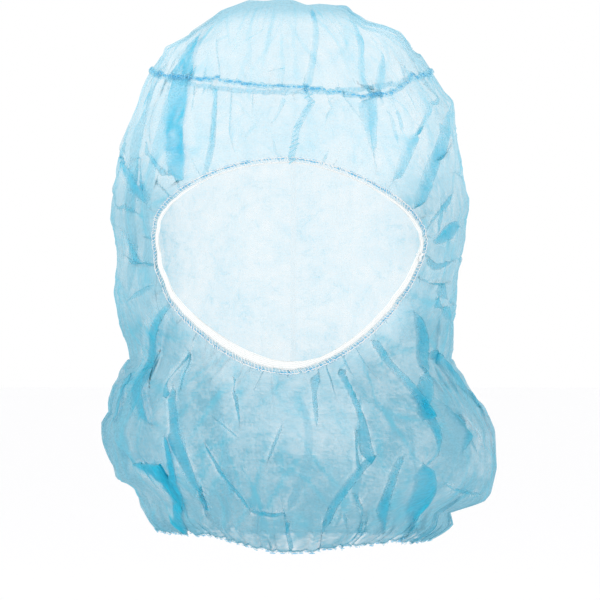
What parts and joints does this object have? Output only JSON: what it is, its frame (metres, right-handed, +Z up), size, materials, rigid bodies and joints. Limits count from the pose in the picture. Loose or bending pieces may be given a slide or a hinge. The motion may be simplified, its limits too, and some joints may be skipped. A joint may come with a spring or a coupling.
{
  "type": "disposable hood",
  "caption": "Thin see-through nonwoven hood that covers the head and neck, with a gathered crown, an elastic face opening and a gathered hem at the neck.",
  "frame": {"origin": "point under the crown where the top of the wearer's head bears", "axes": "+Z up, -Y the way the face looks, +X the wearer's left"},
  "size_m": [0.1943, 0.2108, 0.2709],
  "materials": {
    "nonwoven_cloth": "thin pale blue spunbond polypropylene, partly see-through, matt with a faint sheen",
    "seam_thread": "overlocked seam in white and blue polyester thread",
    "white_elastic": "white knitted elastic under white overlock thread"
  },
  "bodies": {
    "root": {"crown_panel": "nonwoven_cloth", "hood_body": "nonwoven_cloth", "crown_seam": "seam_thread", "forehead_seam": "seam_thread", "face_elastic": "white_elastic", "neck_hem": "nonwoven_cloth"}
  },
  "joints": []
}
